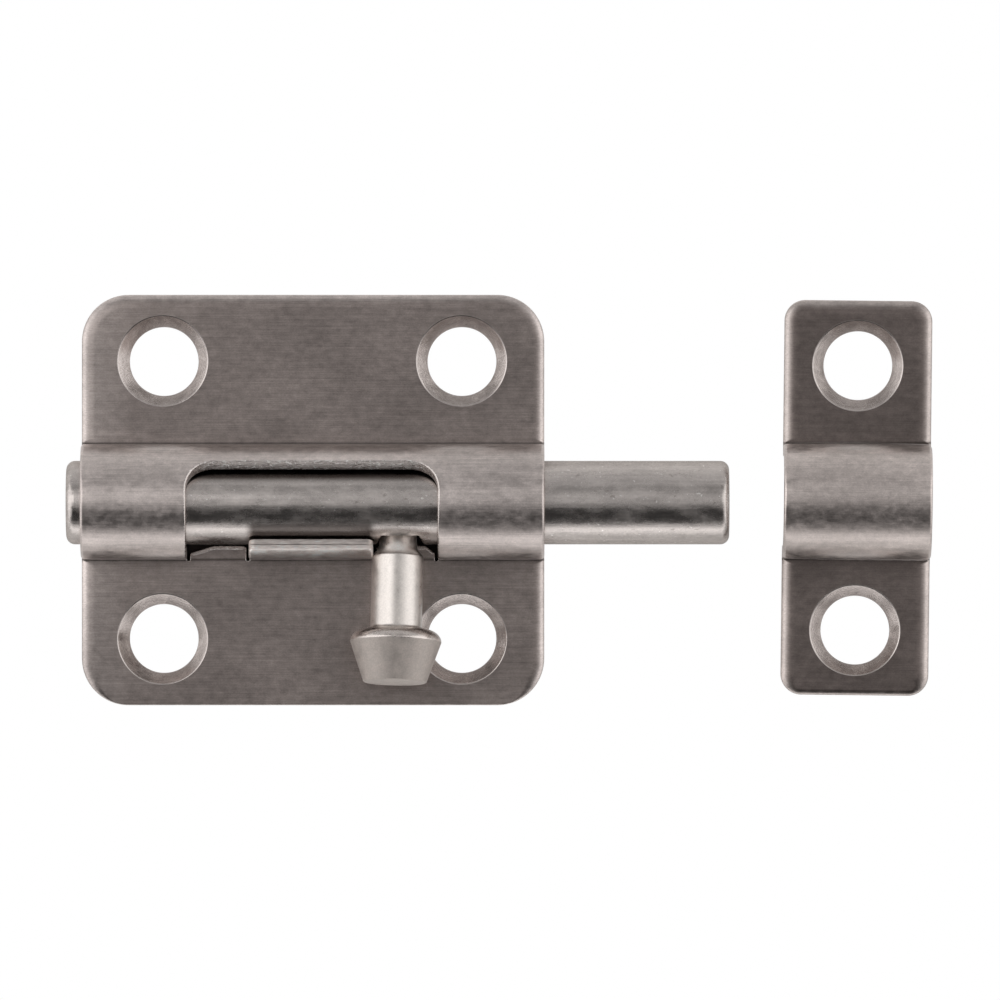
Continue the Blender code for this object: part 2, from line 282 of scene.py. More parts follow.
world = bpy.data.worlds.new("studio_room")
world.use_nodes = True
bpy.context.scene.world = world
room = world.node_tree
way = add_node(room, "ShaderNodeTexCoord").outputs["Generated"]
brightness = ROOM_GREY
for plan in patches.values():
    brightness = maths(room, "ADD", brightness, patch(room, way, *plan))
lit = add_node(room, "ShaderNodeCombineColor", {0: brightness, 1: brightness, 2: brightness}).outputs[0]
room_light = room.nodes["Background"]
room.links.new(lit, room_light.inputs["Color"])
seen_room = add_node(room, "ShaderNodeBackground", {"Color": (1, 1, 1, 1)})
room_path = add_node(room, "ShaderNodeLightPath")
choose_room = add_node(room, "ShaderNodeMixShader", {0: room_path.outputs["Is Camera Ray"]})
room.links.new(room_light.outputs[0], choose_room.inputs[1])
room.links.new(seen_room.outputs[0], choose_room.inputs[2])
room.links.new(choose_room.outputs[0], room.nodes["World Output"].inputs["Surface"])
print("room patches:", ", ".join(patches))

# %% [markdown]
# ## One near lamp
#
# The flats grow darker from left to right. No distant light can do that, since the whole bolt is small, so
# one small soft lamp hangs close to the left.

# %% Near lamp
LAMP_PLACE = Vector((-0.090, 0.035, 0.160))
LAMP_SIZE = 0.09
LAMP_BRIGHTNESS = 0.9

lamp_data = bpy.data.lights.new("near_lamp", "AREA")
lamp_data.shape = "DISK"
lamp_data.size = LAMP_SIZE
lamp_data.energy = LAMP_BRIGHTNESS * math.pi**2 * LAMP_SIZE**2 / 4
near_lamp = bpy.data.objects.new("near_lamp", lamp_data)
near_lamp.location = LAMP_PLACE
near_lamp.rotation_euler = (LAMP_PLACE - Vector((plate_low[0], 0, 0))).to_track_quat("Z", "Y").to_euler()
near_lamp.visible_camera = False
bpy.context.scene.collection.objects.link(near_lamp)
print(f"lamp {LAMP_PLACE.length:.2f} m from the bolt")

# %% [markdown]
# ## Satin sheet
#
# Stainless sheet is brushed in the coil, so its lines run one way, here along the throw. The lines are noise
# drawn out along X. They move the colour a little and the gloss more, and raise a fine bump that spreads
# reflections across the grain. Handling has left an even mottle over them. The arch and the rolled edges are
# given a lighter colour than the flats: they are told apart by their height and by the way that they face.
# The tab is painted lighter still, a painted highlight. The two creases at the foot of the arch are painted
# dark, which is painted shade, and the flats are painted lighter towards the plate's left end, which is
# painted light from the near lamp's side.

# %% Satin sheet
FULL_SHEEN = (1, 1, 1, 1)
# A painted highlight for the tab, lighter than the rest of the sheet.
TAB_PAINTED_LIGHT = (0.95, 0.87, 0.83, 1)
WORN_SHEEN = (0.74, 0.72, 0.70, 1)
# Painted shade for the creases at the foot of the arch.
CREASE_PAINTED_SHADE = (0.07, 0.058, 0.052, 1)


def metal(name, sheen=FULL_SHEEN):
    """A bare metal. A round surface with wear on it mirrors less at its edges than fresh flat sheet does."""
    made = bpy.data.materials.new(name)
    made.use_nodes = True
    shader = made.node_tree.nodes["Principled BSDF"]
    shader.inputs["Metallic"].default_value = 1.0
    shader.inputs["Specular Tint"].default_value = sheen
    return made, made.node_tree, shader


# The tab's mask: it carries the tab's painted highlight, and the cut edge's roughness uses it too.
def on_the_tab(tree):
    """1 on the tab, on its outside and on its cut edge alike."""
    place = add_node(tree, "ShaderNodeTexCoord").outputs["Object"]
    along = add_node(tree, "ShaderNodeSeparateXYZ", {"Vector": place})
    over = between(tree, along.outputs["X"], tab_left - SHEET, tab_right + SHEET, 0.1 * MM)
    line = between(tree, along.outputs["Y"], -5.55 * MM, -3.0 * MM, 0.15 * MM)
    above = ranged(tree, along.outputs["Z"], 1.3 * MM, 1.7 * MM, 0.0, 1.0)
    return maths(tree, "MULTIPLY", maths(tree, "MULTIPLY", over, line), above)


def satin_sheet(name, flat_colour, arch_colour, roughness, line_amount, crease_at, middle):
    made, tree, shader = metal(name)
    place = add_node(tree, "ShaderNodeNewGeometry")
    where = add_node(tree, "ShaderNodeSeparateXYZ", {"Vector": place.outputs["Position"]})
    height = where.outputs["Z"]
    facing = add_node(tree, "ShaderNodeSeparateXYZ", {"Vector": place.outputs["Normal"]}).outputs["Z"]
    # The arch and the rolled edges, picked by height and by the way that they face, get the lighter colour.
    on_arch = ranged(tree, height, 1.25 * MM, 2.0 * MM, 0.0, 1.0)
    on_roll = ranged(tree, facing, 0.985, 0.90, 0.0, 0.9)
    arch_and_roll = maths(tree, "MAXIMUM", on_arch, on_roll)
    fine_lines = noise(tree, (150, 9000, 9000), 4.0, 0.7)
    broad_lines = noise(tree, (60, 1500, 1500), 3.0, 0.6)
    mottle = noise(tree, (1100, 1500, 1500), 4.0, 0.65)
    clouds = noise(tree, (120, 170, 170), 3.0, 0.5)
    grains = noise(tree, (6500, 9000, 9000), 2.0, 0.6)
    # Painted light: the flats are painted lighter towards the plate's left end, on the near lamp's side.
    left_end_light = ranged(tree, where.outputs["X"], plate_low[0] + 1 * MM, plate_low[0] + 5 * MM, 0.28, 0.0)
    flats = mixed(tree, left_end_light, (*flat_colour, 1), (*arch_colour, 1))
    colour = mixed(tree, arch_and_roll, flats, (*arch_colour, 1))
    # Painted highlight: the tab is painted lighter.
    colour = mixed(tree, on_the_tab(tree), colour, TAB_PAINTED_LIGHT)
    # Painted shade: the two creases at the foot of the arch are painted dark, fading out higher up.
    from_middle = maths(tree, "ABSOLUTE", maths(tree, "SUBTRACT", where.outputs["Y"], middle))
    crease_shade = between(tree, from_middle, crease_at - 0.22 * MM, crease_at - 0.02 * MM, 0.12 * MM)
    low_down = ranged(tree, height, 1.4 * MM, 3.0 * MM, 0.85, 0.0)
    colour = mixed(tree, maths(tree, "MULTIPLY", crease_shade, low_down), colour, CREASE_PAINTED_SHADE)
    colour = varied(tree, colour, fine_lines, line_amount)
    colour = varied(tree, colour, mottle, 0.20)
    colour = varied(tree, colour, clouds, 0.18)
    tree.links.new(varied(tree, colour, grains, 0.12), shader.inputs["Base Color"])
    gloss = ranged(tree, mottle, 0.3, 0.7, roughness - 0.05, roughness + 0.07)
    tree.links.new(gloss, shader.inputs["Roughness"])
    surface = bumped(tree, fine_lines, 0.0022 * MM)
    surface = bumped(tree, broad_lines, 0.006 * MM, surface)
    surface = bumped(tree, mottle, 0.004 * MM, surface)
    tree.links.new(bumped(tree, grains, 0.0018 * MM, surface), shader.inputs["Normal"])
    return made


plate_tones = ((0.284, 0.243, 0.227), (0.62, 0.553, 0.527))
keeper_tones = ((0.198, 0.165, 0.153), (0.58, 0.515, 0.487))
plate_crease = ROD_RADIUS + 1.7 * MM
keeper_crease = ROD_RADIUS + 1.68 * MM
plate_finish = satin_sheet("satin_plate_finish", *plate_tones, 0.36, 0.20, plate_crease, TUNNEL_OFFSET)
keeper_finish = satin_sheet("satin_keeper_finish", *keeper_tones, 0.36, 0.14, keeper_crease, -0.09 * MM)
print("satin finishes made")

# %% [markdown]
# ## Sheared edge
#
# Where the window was punched out, the tool cut cleanly for part of the sheet's thickness and then tore it.
# On the window's far edge the torn metal glitters: coarse noise in the bump roughens it, and the crumbs that
# stand out bright are painted glints. The lips at the foot of the window tore in the same way, and the tab's
# edge is painted lighter, a painted highlight, with a rougher gloss.

# %% Sheared edge
def sheared_edge(name, colour, glint_colour, roughness):
    made, tree, shader = metal(name)
    place = add_node(tree, "ShaderNodeTexCoord").outputs["Object"]
    across = add_node(tree, "ShaderNodeSeparateXYZ", {"Vector": place}).outputs["Y"]
    far_edge = ranged(tree, across, 2.0 * MM, 3.0 * MM, 0.0, 1.0)
    lips = ranged(tree, across, -4.2 * MM, -4.3 * MM, 0.0, 1.0)
    torn = maths(tree, "MAXIMUM", far_edge, lips)
    crumbs = noise(tree, (2000, 2800, 2800), 4.0, 0.75)
    tears = noise(tree, (900, 5200, 5200), 3.0, 0.6)
    # Painted glints: crumbs on the torn edges are painted bright.
    painted_glints = maths(tree, "MULTIPLY", torn, ranged(tree, crumbs, 0.54, 0.60, 0.0, 1.0))
    # Painted highlight: the tab's cut edge is painted lighter.
    colour = mixed(tree, on_the_tab(tree), (*colour, 1), TAB_PAINTED_LIGHT)
    colour = mixed(tree, painted_glints, colour, (*glint_colour, 1))
    tree.links.new(varied(tree, colour, tears, 0.2), shader.inputs["Base Color"])
    gloss = ranged(tree, tears, 0.3, 0.7, roughness - 0.1, roughness + 0.1)
    gloss = maths(tree, "ADD", gloss, maths(tree, "MULTIPLY", on_the_tab(tree), 0.2))
    tree.links.new(gloss, shader.inputs["Roughness"])
    surface = bumped(tree, maths(tree, "MULTIPLY", torn, crumbs), 0.07 * MM)
    tree.links.new(bumped(tree, tears, 0.006 * MM, surface), shader.inputs["Normal"])
    return made


# The second colour is the painted glint colour of the bright crumbs.
shear_finish = sheared_edge("sheared_edge_finish", (0.60, 0.545, 0.52), (0.95, 0.92, 0.89), 0.3)
print("sheared finish made")

# %% [markdown]
# ## Countersinks
#
# The countersink cutter leaves a turned cone. Its rings are real steps in the shape. The finish adds the
# gloss of freshly cut metal and the faint smears that chips leave.

# %% Cut cone
def cut_cone(name, colour, roughness):
    made, tree, shader = metal(name)
    smears = noise(tree, (700, 700, 1400), 4.0, 0.6)
    grains = noise(tree, (7000, 7000, 7000), 2.0, 0.6)
    colour = varied(tree, (*colour, 1), smears, 0.14)
    tree.links.new(varied(tree, colour, grains, 0.08), shader.inputs["Base Color"])
    gloss = ranged(tree, smears, 0.3, 0.7, roughness - 0.05, roughness + 0.1)
    tree.links.new(gloss, shader.inputs["Roughness"])
    tree.links.new(bumped(tree, grains, 0.0015 * MM), shader.inputs["Normal"])
    return made


cone_finish = cut_cone("cut_cone_finish", (0.56, 0.505, 0.48), 0.19)
print("cone finish made")

# %% [markdown]
# ## Tumbled knob
#
# Knobs are turned on an automatic lathe and then tumbled with stones, which leaves them brighter than the
# sheet, with a fine grain all over. The head is handled most: its grain is coarser, and its rim is rubbed.

# %% Tumbled knob
def tumbled(name, colour, roughness, grain_depth):
    made, tree, shader = metal(name)
    grains = noise(tree, (6500, 6500, 6500), 4.0, 0.7)
    scuffs = noise(tree, (1100, 1100, 1100), 4.0, 0.65)
    shade = varied(tree, (*colour, 1), grains, 0.14)
    tree.links.new(varied(tree, shade, scuffs, 0.15), shader.inputs["Base Color"])
    gloss = ranged(tree, scuffs, 0.3, 0.7, roughness - 0.05, roughness + 0.10)
    tree.links.new(gloss, shader.inputs["Roughness"])
    grained = bumped(tree, grains, grain_depth)
    tree.links.new(bumped(tree, scuffs, 3 * grain_depth, grained), shader.inputs["Normal"])
    return made


# Painted light: the neck is painted much lighter than the stem, making up for the shade that the rod and the
# tab cast on it.
neck_painted_light = tumbled("neck_painted_light_finish", (0.95, 0.90, 0.86), 0.32, 0.003 * MM)
stem_finish = tumbled("tumbled_stem_finish", (0.69, 0.643, 0.605), 0.32, 0.003 * MM)
rim_finish = tumbled("rubbed_rim_finish", (0.66, 0.60, 0.565), 0.25, 0.003 * MM)
head_finish = tumbled("handled_head_finish", (0.52, 0.468, 0.435), 0.60, 0.012 * MM)
print("knob finishes made")

# %% [markdown]
# ## How a bent sheet is described
#
# A press makes both plates from flat blanks, and so does this script. A point of the blank has a place along
# X, a place across, and a depth in the sheet from back to front. Bending only changes the last two: the
# middle strip goes over an arch, down two short walls and round two tight creases. Because the bend is a
# formula, the way that the surface faces is known exactly at every point, and reflections run smoothly.

# %% The bend
class Section:
    """An arch over the rod with some play, then straight walls, creases and flats."""

    def __init__(self, play):
        self.inner = ROD_RADIUS + play
        self.arch_end = (self.inner + SHEET / 2) * math.pi / 2
        self.wall_end = self.arch_end + AXIS_Z - SHEET - FOOT_RADIUS
        self.foot_end = self.wall_end + (FOOT_RADIUS + SHEET / 2) * math.pi / 2
        self.flat_start = self.inner + SHEET + FOOT_RADIUS

    def across_at(self, y):
        """The place across the blank of a point on a flat."""
        return math.copysign(self.foot_end + abs(y) - self.flat_start, y)

    def across_at_angle(self, degrees):
        return (self.inner + SHEET / 2) * math.radians(degrees)

    def bent(self, across, depth):
        """(y, z, turn): where the point goes, and how far the sheet has turned from flat there."""
        side = math.copysign(1.0, across)
        along = abs(across)
        if along <= self.arch_end:
            turn = along / (self.inner + SHEET / 2)
            radius = self.inner + depth
            return side * radius * math.sin(turn), AXIS_Z + radius * math.cos(turn), side * turn
        if along <= self.wall_end:
            return side * (self.inner + depth), AXIS_Z + self.arch_end - along, side * math.pi / 2
        if along <= self.foot_end:
            turned = (along - self.wall_end) / (FOOT_RADIUS + SHEET / 2)
            radius = FOOT_RADIUS + SHEET - depth
            y = self.flat_start - radius * math.cos(turned)
            z = SHEET + FOOT_RADIUS - radius * math.sin(turned)
            return side * y, z, side * (math.pi / 2 - turned)
        return side * (self.flat_start + along - self.foot_end), depth, 0.0


tunnel = Section(play=TUNNEL_PLAY)
keeper_arch = Section(play=KEEPER_PLAY)
print(f"the tunnel uses {2 * tunnel.foot_end / MM:.1f} mm of the blank's height")

# %% [markdown]
# ## Outlines
#
# An outline is a list of corners, each with the radius that rounds it. It is walked anticlockwise, and every
# point of it also knows which way is out. A cutter's path in a workshop is written in the same way.

# %% Outlines
SAME_POINT = 0.001 * MM
CORNER_STEPS = 24
SMALL_STEPS = 10
HOLE_SIDES = 120
ROLL_START = 0.35 * MM


def rounded_loop(corners):
    """(x, across, out_x, out_across) all round, from (x, across, radius, steps) corners."""
    loop = []
    for index, (x, across, radius, steps) in enumerate(corners):
        here = Vector((x, across))
        before = (here - Vector(corners[index - 1][:2])).normalized()
        after = (Vector(corners[(index + 1) % len(corners)][:2]) - here).normalized()
        out_before = Vector((before.y, -before.x))
        out_after = Vector((after.y, -after.x))
        if radius == 0:
            way = (out_before + out_after).normalized()
            loop.append((x, across, way.x, way.y))
            continue
        turn = math.copysign(1.0, before.cross(after))
        centre = here - turn * radius * (out_before + out_after) / (1 + out_before.dot(out_after))
        start = math.atan2(out_before.y, out_before.x)
        sweep = turn * out_before.angle(out_after)
        for step in range(steps + 1):
            angle = start + sweep * step / steps
            way = Vector((math.cos(angle), math.sin(angle)))
            point = centre + turn * radius * way
            if not loop or (point - Vector(loop[-1][:2])).length > SAME_POINT:
                loop.append((point.x, point.y, way.x, way.y))
    return loop


def plate_loop(section, low, high, radius):
    """The rounded outline of a plate, from the corners of its box."""
    bottom = section.across_at(low[1])
    top = section.across_at(high[1])
    past_foot = section.foot_end + ROLL_START
    stations = (-past_foot, -section.foot_end, section.foot_end, past_foot)
    corners = [(low[0], bottom, radius, CORNER_STEPS), (high[0], bottom, radius, CORNER_STEPS)]
    corners += [(high[0], across, 0, 0) for across in stations]
    corners += [(high[0], top, radius, CORNER_STEPS), (low[0], top, radius, CORNER_STEPS)]
    corners += [(low[0], across, 0, 0) for across in reversed(stations)]
    return rounded_loop(corners)


def circle_loop(section, x, y):
    centre = section.across_at(y)
    loop = []
    for side in range(HOLE_SIDES):
        angle = math.tau * side / HOLE_SIDES
        way_x = math.cos(angle)
        way_y = math.sin(angle)
        loop.append((x + HOLE_RADIUS * way_x, centre + HOLE_RADIUS * way_y, way_x, way_y))
    return loop


print(f"a screw hole is {2 * HOLE_RADIUS / MM:.1f} mm across")

# %% [markdown]
# ## Edges
#
# No real edge is perfectly sharp. An edge is drawn as a profile through the sheet, from the back face to the
# front: how far it cuts in, and how deep it lies. Press work is rolled over at the front of the flats. The
# window's edge is nearly square, but broader where it crosses the arch and torn open along the two flat lips
# at its foot. A countersink is a cone with the fine steps that its cutter left.

# %% Edge profiles
EDGE_STEPS = 6
ROLL_STEPS = 12
BACK_ROUNDING = 0.06 * MM
CUT_ROUNDING = 0.09 * MM
CROSSING_ROUNDING = 0.22 * MM
TORN_WIDTH = 0.40 * MM
RELIEF = 0.3 * MM
LIP_TOP = -tunnel.foot_end + tunnel.flat_start - ROD_RADIUS
RING_COUNT = 9
RING_DEPTH = 0.0016 * MM
FLARE_BEVEL = 0.07 * MM


def quarter_turn(steps=EDGE_STEPS):
    """Angles of a quarter turn, which rounds an edge over."""
    return [math.pi / 2 * step / steps for step in range(steps + 1)]


def back_edge():
    points = []
    for angle in quarter_turn():
        inset = BACK_ROUNDING * (1 - math.sin(angle))
        points.append((inset, BACK_ROUNDING * (1 - math.cos(angle))))
    return points


def front_edge(width, depth, steps=EDGE_STEPS):
    """A front edge rolled over by this much across and this much down."""
    points = []
    for angle in quarter_turn(steps):
        points.append((width * (1 - math.cos(angle)), SHEET - depth * (1 - math.sin(angle))))
    return points


def blend(first, second, share):
    return [a + (b - a) * share for a, b in zip(first, second)]


def rolled_profile(section, flat_roll, arch_roll, sheared_roll):
    """The outer edge, with (width, depth) rolls on the flats, on the arch's ends and on the near side."""

    def profile(point):
        past = min(max((abs(point[1]) - section.foot_end) / ROLL_START, 0.0), 1.0)
        near_side = min(max((-point[3] - 0.55) / 0.4, 0.0), 1.0)
        flat = blend(flat_roll, sheared_roll, near_side)
        return back_edge() + front_edge(*blend(arch_roll, flat, past), ROLL_STEPS)

    return profile


def cut_profile(point):
    """A punched edge: broader where it crosses the arch, and torn open along the lips."""
    x, across, out_x, out_across = point
    crossing = min(max(abs(out_x) - 0.5, 0.0) / 0.4, 1.0) if abs(across) < tunnel.arch_end else 0.0
    width = CUT_ROUNDING + (CROSSING_ROUNDING - CUT_ROUNDING) * crossing
    depth = width
    on_lip = -tunnel.foot_end < across < LIP_TOP and window_left + RELIEF < x < window_right - RELIEF
    if on_lip and not tab_left - RELIEF < x < tab_right + RELIEF:
        width += (TORN_WIDTH - CUT_ROUNDING) * max(-out_across, 0.0) ** 2
    return back_edge() + front_edge(width, depth)


def countersunk_profile(off_x, off_across):
    """A cone with cutter rings, set a little off the punched hole."""

    def profile(point):
        flare = FLARE + off_x * point[2] + off_across * point[3]
        low = max(SHEET - FLARE_BEVEL - flare, BACK_ROUNDING + 4 * RING_DEPTH)
        points = back_edge()
        steps = RING_COUNT * 4
        for step in range(steps + 1):
            along = step / steps
            ripple = RING_DEPTH * (1 - math.cos(math.tau * along * RING_COUNT))
            depth = low + (SHEET - FLARE_BEVEL - low) * along
            points.append((flare * along + ripple, depth - ripple))
        points.append((flare + FLARE_BEVEL * 1.6, SHEET))
        return points

    return profile


print(f"a countersink is {2 * (HOLE_RADIUS + FLARE) / MM:.1f} mm across")

# %% [markdown]
# ## From blank to bent piece
#
# Each outline's profile becomes a rim: rings of points joined by walls. The front and back faces are filled
# between the rims in one go, holes and all. The flat blank is then divided along its bend lines and bent.
# Blender's own smoothing would guess how the surface faces from the long thin faces of a filled blank, and
# it would guess badly, so each point carries its true direction and keeps it through the division.

# %% Rims, filling and bending
ARCH_STRIPS = 72
FOOT_STRIPS = 8


def leans(profile, first, last):
    """Which way a profile faces at each point: 0 is straight out and a quarter turn is frontwards."""
    found = []
    for index in range(len(profile)):
        total = Vector((0.0, 0.0))
        for a, b in ((index - 1, index), (index, index + 1)):
            if a >= 0 and b < len(profile):
                total += Vector((profile[b][1] - profile[a][1], profile[b][0] - profile[a][0]))
        found.append(math.atan2(total.y, total.x))
    found[0] = first
    found[-1] = last
    return found


def add_rim(bm, way, loop, profile, finish, side):
    """side is -1 for the outline, where cutting in goes against the way out, and 1 for a hole."""
    columns = []
    for point in loop:
        x, across, out_x, out_across = point
        shape = profile(point)
        column = []
        for (inset, depth), lean in zip(shape, leans(shape, -math.pi / 2, math.pi / 2)):
            vert = bm.verts.new((x + side * inset * out_x, across + side * inset * out_across, depth))
            flat = -side * math.cos(lean)
            vert[way] = (flat * out_x, flat * out_across, math.sin(lean))
            column.append(vert)
        columns.append(column)
    ends = []
    for index, column in enumerate(columns):
        before = columns[index - 1]
        for lower in range(len(column) - 1):
            wall = bm.faces.new((before[lower], column[lower], column[lower + 1], before[lower + 1]))
            wall.material_index = finish
        ends.append((bm.edges.get((before[0], column[0])), bm.edges.get((before[-1], column[-1]))))
    return [end[0] for end in ends], [end[1] for end in ends]


def bend_lines(section):
    half = ARCH_STRIPS // 2
    lines = [section.arch_end * step / half for step in range(half + 1)]
    foot_width = section.foot_end - section.wall_end
    lines += [section.wall_end + foot_width * step / FOOT_STRIPS for step in range(FOOT_STRIPS + 1)]
    return sorted({side * line for side in (-1.0, 1.0) for line in lines})


def divide(bm, place, normal):
    everything = bm.verts[:] + bm.edges[:] + bm.faces[:]
    bmesh.ops.bisect_plane(bm, geom=everything, dist=1e-8, plane_co=place, plane_no=normal)


def pressed(name, section, outlines, stays_flat=None, x_lines=(), bow=None):
    """The bent piece of a blank with these (loop, profile, finish) outlines, the outer one first."""
    bm = bmesh.new()
    way = bm.verts.layers.float_vector.new("way")
    back_edges, front_edges = [], []
    for index, (loop, profile, finish) in enumerate(outlines):
        back, front = add_rim(bm, way, loop, profile, finish, -1 if index == 0 else 1)
        back_edges += back
        front_edges += front
    for edges in (back_edges, front_edges):
        bmesh.ops.triangle_fill(bm, use_beauty=True, edges=edges, normal=(0, 0, 1))
    for line in bend_lines(section):
        divide(bm, (0, line, 0), (0, 1, 0))
    for line in x_lines:
        divide(bm, (line, 0, 0), (1, 0, 0))
    bmesh.ops.recalc_face_normals(bm, faces=bm.faces[:])
    facing = []
    for vert in bm.verts:
        x, across, depth = vert.co
        flat = vert[way].normalized()
        if stays_flat and stays_flat(x, across):
            vert.co.y = math.copysign(section.flat_start + abs(across) - section.foot_end, across)
            vert.co.y += bow(x, vert.co.y, depth) if bow else 0.0
            facing.append(flat.copy())
            continue
        y, z, turn = section.bent(across, depth)
        if bow:
            y += bow(x, y, z)
        vert.co.yz = y, z
        cos, sin = math.cos(turn), math.sin(turn)
        facing.append(Vector((flat.x, flat.y * cos + flat.z * sin, flat.z * cos - flat.y * sin)))
    return finished(name, bm, facing)


def finished(name, bm, facing):
    """The object of a closed mesh whose points face these ways."""
    mesh = bpy.data.meshes.new(name)
    bm.to_mesh(mesh)
    bm.free()
    mesh.shade_smooth()
    mesh.normals_split_custom_set_from_vertices(facing)
    made = bpy.data.objects.new(name, mesh)
    bpy.context.scene.collection.objects.link(made)
    print(f"{name}: {len(mesh.vertices)} points, {len(mesh.polygons)} faces")
    return made


def stand_in(piece, node, body, finishes):
    """The fine piece takes the plain one's place."""
    for finish in finishes:
        piece.data.materials.append(finish)
    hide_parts(node)
    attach(piece, body)


print(f"the blank is divided along {len(bend_lines(tunnel))} lines before it is bent")

# %% [markdown]
# ## The base plate
#
# One pressing does almost everything. Its window has a notch at each end, where the knob can lie down, and a
# tab between them that stops the rod from sliding while it does. At the foot of each notch a flat lip of
# the blank stays unbent, freed from the walls beside it by a narrow relief. The plate is bent about its own
# middle first, and then the whole tunnel is moved a hair to one side, which leaves the holes where they are.

# %% Base plate
LIP_CORNER = 0.3 * MM
LIP_SLOPES = (2.3 * MM, 0.9 * MM)
LIP_GAP = 0.25 * MM
LIP_DROP = 0.7 * MM
TAB_CORNER = 0.6 * MM
TAB_TOP_AT = -56
WINDOW_CORNER = 2.8 * MM
WINDOW_TOP_AT = 45
PLATE_CORNER = 4.5 * MM
PLATE_FLAT_ROLL = (1.3 * MM, 0.56 * MM)
ARCH_ROLL = (0.3 * MM, 0.3 * MM)
PLATE_NEAR_ROLL = (0.12 * MM, 0.12 * MM)
HOLES_ALONG = 14.3 * MM
HOLES_ACROSS = 13.3 * MM
SHIFT_ENDS_AT = 6.2 * MM
SHIFT_FADE = 2.6 * MM
BASE_FINISH, SHEAR_FINISH, CONE_FINISH = range(3)

notches = ((window_left, tab_left), (tab_right, window_right))


def window_loop():
    foot = -tunnel.foot_end
    lip = LIP_TOP - LIP_GAP
    tab = tunnel.across_at_angle(TAB_TOP_AT)
    top = tunnel.across_at_angle(WINDOW_TOP_AT)
    slot = RELIEF / 2
    left_slope, right_slope = LIP_SLOPES
    corners = [(x, foot, slot, SMALL_STEPS) for x in (window_left, window_left + RELIEF)]
    corners.append((window_left + RELIEF, lip - LIP_DROP, LIP_CORNER, SMALL_STEPS))
    corners.append((window_left + RELIEF + left_slope, lip, 2 * LIP_CORNER, SMALL_STEPS))
    corners.append((tab_left - RELIEF, lip, LIP_CORNER, SMALL_STEPS))
    corners += [(x, foot, slot, SMALL_STEPS) for x in (tab_left - RELIEF, tab_left)]
    corners += [(x, tab, TAB_CORNER, SMALL_STEPS) for x in (tab_left, tab_right)]
    corners += [(x, foot, slot, SMALL_STEPS) for x in (tab_right, tab_right + RELIEF)]
    corners.append((tab_right + RELIEF, lip, LIP_CORNER, SMALL_STEPS))
    corners.append((window_right - RELIEF - right_slope, lip, 2 * LIP_CORNER, SMALL_STEPS))
    corners.append((window_right - RELIEF, lip - LIP_DROP, LIP_CORNER, SMALL_STEPS))
    corners += [(x, foot, slot, SMALL_STEPS) for x in (window_right - RELIEF, window_right)]
    corners += [(x, top, WINDOW_CORNER, CORNER_STEPS) for x in (window_right, window_left)]
    return rounded_loop(corners)


def in_a_lip(x, across):
    if not -tunnel.foot_end < across < LIP_TOP:
        return False
    return any(left + RELIEF / 2 < x < right - RELIEF / 2 for left, right in notches)


def tunnel_shift(x, y, z):
    """The press set the tunnel a little nearer one side. The flats give way between it and the holes."""
    fade = min(max((abs(y) - SHIFT_ENDS_AT) / SHIFT_FADE, 0.0), 1.0)
    return TUNNEL_OFFSET * (1 - fade)


plate_middle = (plate_low[0] + plate_high[0]) / 2
plate_outlines = [
    (
        plate_loop(tunnel, plate_low, plate_high, PLATE_CORNER),
        rolled_profile(tunnel, PLATE_FLAT_ROLL, ARCH_ROLL, PLATE_NEAR_ROLL),
        BASE_FINISH,
    ),
    (window_loop(), cut_profile, SHEAR_FINISH),
]
for hole_x, off_x in ((plate_middle - HOLES_ALONG, -0.14 * MM), (plate_middle + HOLES_ALONG, -0.05 * MM)):
    for hole_y, off_across in ((-HOLES_ACROSS, -0.03 * MM), (HOLES_ACROSS, 0.06 * MM)):
        hole = circle_loop(tunnel, hole_x, hole_y)
        plate_outlines.append((hole, countersunk_profile(off_x, off_across), CONE_FINISH))
fine_plate = pressed("fine_base_plate", tunnel, plate_outlines, in_a_lip, bow=tunnel_shift)
stand_in(fine_plate, "base_plate", "plate", (plate_finish, shear_finish, cone_finish))
print(f"its window is {(window_right - window_left) / MM:.1f} mm long")
print(f"its tab is {(tab_right - tab_left) / MM:.1f} mm long")

# %% [markdown]
# ## The keeper
#
# The keeper is pressed in the same way, with more play over the rod. Its strip is narrow, so its arch drew in
# as it left the press, most at the two ends and more on the far side than on the near one, though never so
# far that it touches the rod. The piece lies a fraction of a degree askew and a hair low, as loose pieces do,
# and is turned about one corner.

# %% Keeper
FAR_PINCH = 0.58 * MM
NEAR_PINCH = 0.14 * MM
ARCH_OFFSET = 0.30 * MM
LAID_DOWN_BY = 0.33 * MM
ASKEW = math.radians(0.66)
KEEPER_CORNER = 2.0 * MM
KEEPER_FLAT_ROLL = (1.6 * MM, 0.62 * MM)
KEEPER_NEAR_ROLL = (0.6 * MM, 0.35 * MM)
KEEPER_HOLES_ACROSS = 12.7 * MM
KEEPER_DIVISIONS = 14
ENDS_DRAW_IN = 0.23
DRAW_FADE = 1.9 * MM

keeper_width = keeper_high[0] - keeper_low[0]
keeper_middle_x = (keeper_low[0] + keeper_high[0]) / 2
keeper_middle_y = (keeper_low[1] + keeper_high[1]) / 2
keeper_lines = [
    keeper_low[0] + keeper_width * step / KEEPER_DIVISIONS for step in range(1, KEEPER_DIVISIONS)
]


def drawn_in(x, y, z):
    """How far across a point of the arch or its foot moves. Nothing moves at the holes."""
    from_middle = 2 * (x - keeper_middle_x) / keeper_width
    up_the_side = min(abs(y) / (keeper_arch.inner + SHEET / 2), 1.0)
    along_flat = min(max((abs(y) - keeper_arch.flat_start) / DRAW_FADE, 0.0), 1.0)
    pinch = NEAR_PINCH if y < 0 else FAR_PINCH
    inwards = pinch * (1 - ENDS_DRAW_IN + ENDS_DRAW_IN * from_middle**2) * up_the_side
    return (ARCH_OFFSET - math.copysign(inwards, y)) * (1 - along_flat)


